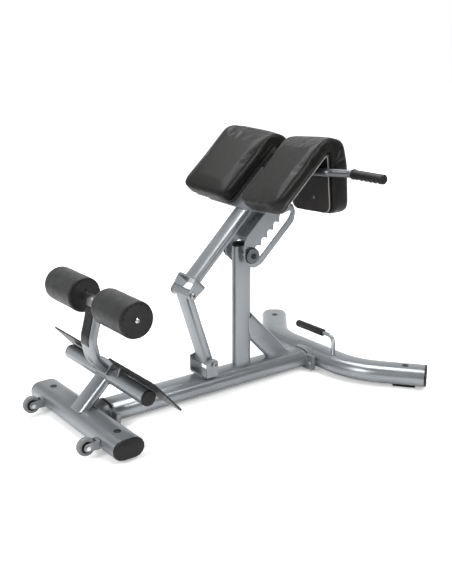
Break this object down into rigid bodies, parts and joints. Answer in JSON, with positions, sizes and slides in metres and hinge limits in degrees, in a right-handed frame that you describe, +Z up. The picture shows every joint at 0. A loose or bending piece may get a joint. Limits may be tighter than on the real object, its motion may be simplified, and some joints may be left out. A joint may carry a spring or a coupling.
{
  "type": "roman chair",
  "caption": "45 degree roman chair: split thigh pads on a swinging carriage with a notched height rack, ankle foam rollers, sloping foot plates, steel frame and transport wheels.",
  "frame": {"origin": "middle of the footprint's box, at floor height", "axes": "+X from the ankle rollers towards the pads' head end, along the main rail; +Y to the right of someone lying face down on the pads; +Z up"},
  "size_m": [1.2282, 0.8594, 0.8408],
  "materials": {
    "silver_paint": "satin",
    "black_plastic": "satin",
    "black_vinyl": "satin",
    "pad_board": "matte",
    "roller_foam": "matte",
    "black_steel": "satin",
    "chrome": "polished",
    "grip_rubber": "matte",
    "grey_tyre": "matte",
    "foot_rubber": "matte"
  },
  "bodies": {
    "base": {"brace": "silver_paint", "foot_gusset_left": "silver_paint", "foot_gusset_right": "silver_paint", "foot_strut": "silver_paint", "foot_tube": "silver_paint", "foot_tube_cap_left": "black_plastic", "foot_tube_cap_right": "black_plastic", "footplate_left": "black_steel", "footplate_right": "black_steel", "footplate_tab_left": "silver_paint", "footplate_tab_right": "silver_paint", "front_cap_left": "black_plastic", "front_cap_right": "black_plastic", "front_crossbar": "silver_paint", "front_foot_left": "foot_rubber", "front_foot_right": "foot_rubber", "front_stub": "silver_paint", "haul_grip": "grip_rubber", "haul_rod": "silver_paint", "link_bolt": "chrome", "link_bracket": "silver_paint", "main_rail": "silver_paint", "pin_disc_left": "silver_paint", "pin_disc_right": "silver_paint", "post": "silver_paint", "post_cap": "black_plastic", "rack_pin": "chrome", "rear_cap_left": "black_plastic", "rear_cap_right": "black_plastic", "rear_crossbar": "silver_paint", "rear_foot_left": "foot_rubber", "rear_foot_right": "foot_rubber", "rear_stub": "silver_paint", "roller_axle": "chrome", "roller_post": "silver_paint", "wheel_axle_left": "chrome", "wheel_axle_right": "chrome", "wheel_fork_left": "silver_paint", "wheel_fork_right": "silver_paint"},
    "link": {"lower_link": "silver_paint"},
    "carriage": {"beam": "silver_paint", "elbow_bolt": "chrome", "elbow_bracket": "silver_paint", "handle_bar": "silver_paint", "handle_grip_left": "grip_rubber", "handle_grip_right": "grip_rubber", "pad_board_left": "pad_board", "pad_board_right": "pad_board", "pad_left": "black_vinyl", "pad_plate": "silver_paint", "pad_right": "black_vinyl", "rack": "silver_paint"},
    "roller_left": {"roller_cap_inner_left": "black_plastic", "roller_cap_outer_left": "black_plastic", "roller_left": "roller_foam"},
    "roller_right": {"roller_cap_inner_right": "black_plastic", "roller_cap_outer_right": "black_plastic", "roller_right": "roller_foam"},
    "wheel_left": {"wheel_left": "grey_tyre"},
    "wheel_right": {"wheel_right": "grey_tyre"}
  },
  "joints": [
    {"name": "link_swing", "type": "hinge", "parent": "base", "child": "link", "pos_m": [-0.04865, 0, 0.118], "axis": [0, -1, 0], "range_deg": [0, 36.8]},
    {"name": "elbow", "type": "hinge", "parent": "link", "child": "carriage", "pos_m": [-0.12915, 0, 0.365], "axis": [0, -1, 0], "range_deg": [-36.8, 0]},
    {"name": "roller_left_spin", "type": "hinge", "parent": "base", "child": "roller_left", "pos_m": [-0.43865, -0.15, 0.3955], "axis": [0, 1, 0], "continuous": true},
    {"name": "roller_right_spin", "type": "hinge", "parent": "base", "child": "roller_right", "pos_m": [-0.43865, 0.15, 0.3955], "axis": [0, 1, 0], "continuous": true},
    {"name": "wheel_left_spin", "type": "hinge", "parent": "base", "child": "wheel_left", "pos_m": [-0.58665, -0.179, 0.039], "axis": [0, 1, 0], "continuous": true},
    {"name": "wheel_right_spin", "type": "hinge", "parent": "base", "child": "wheel_right", "pos_m": [-0.58665, 0.179, 0.039], "axis": [0, 1, 0], "continuous": true}
  ],
  "couplings": [
    {"joint": "elbow", "follows": "link_swing", "ratio": -1}
  ]
}
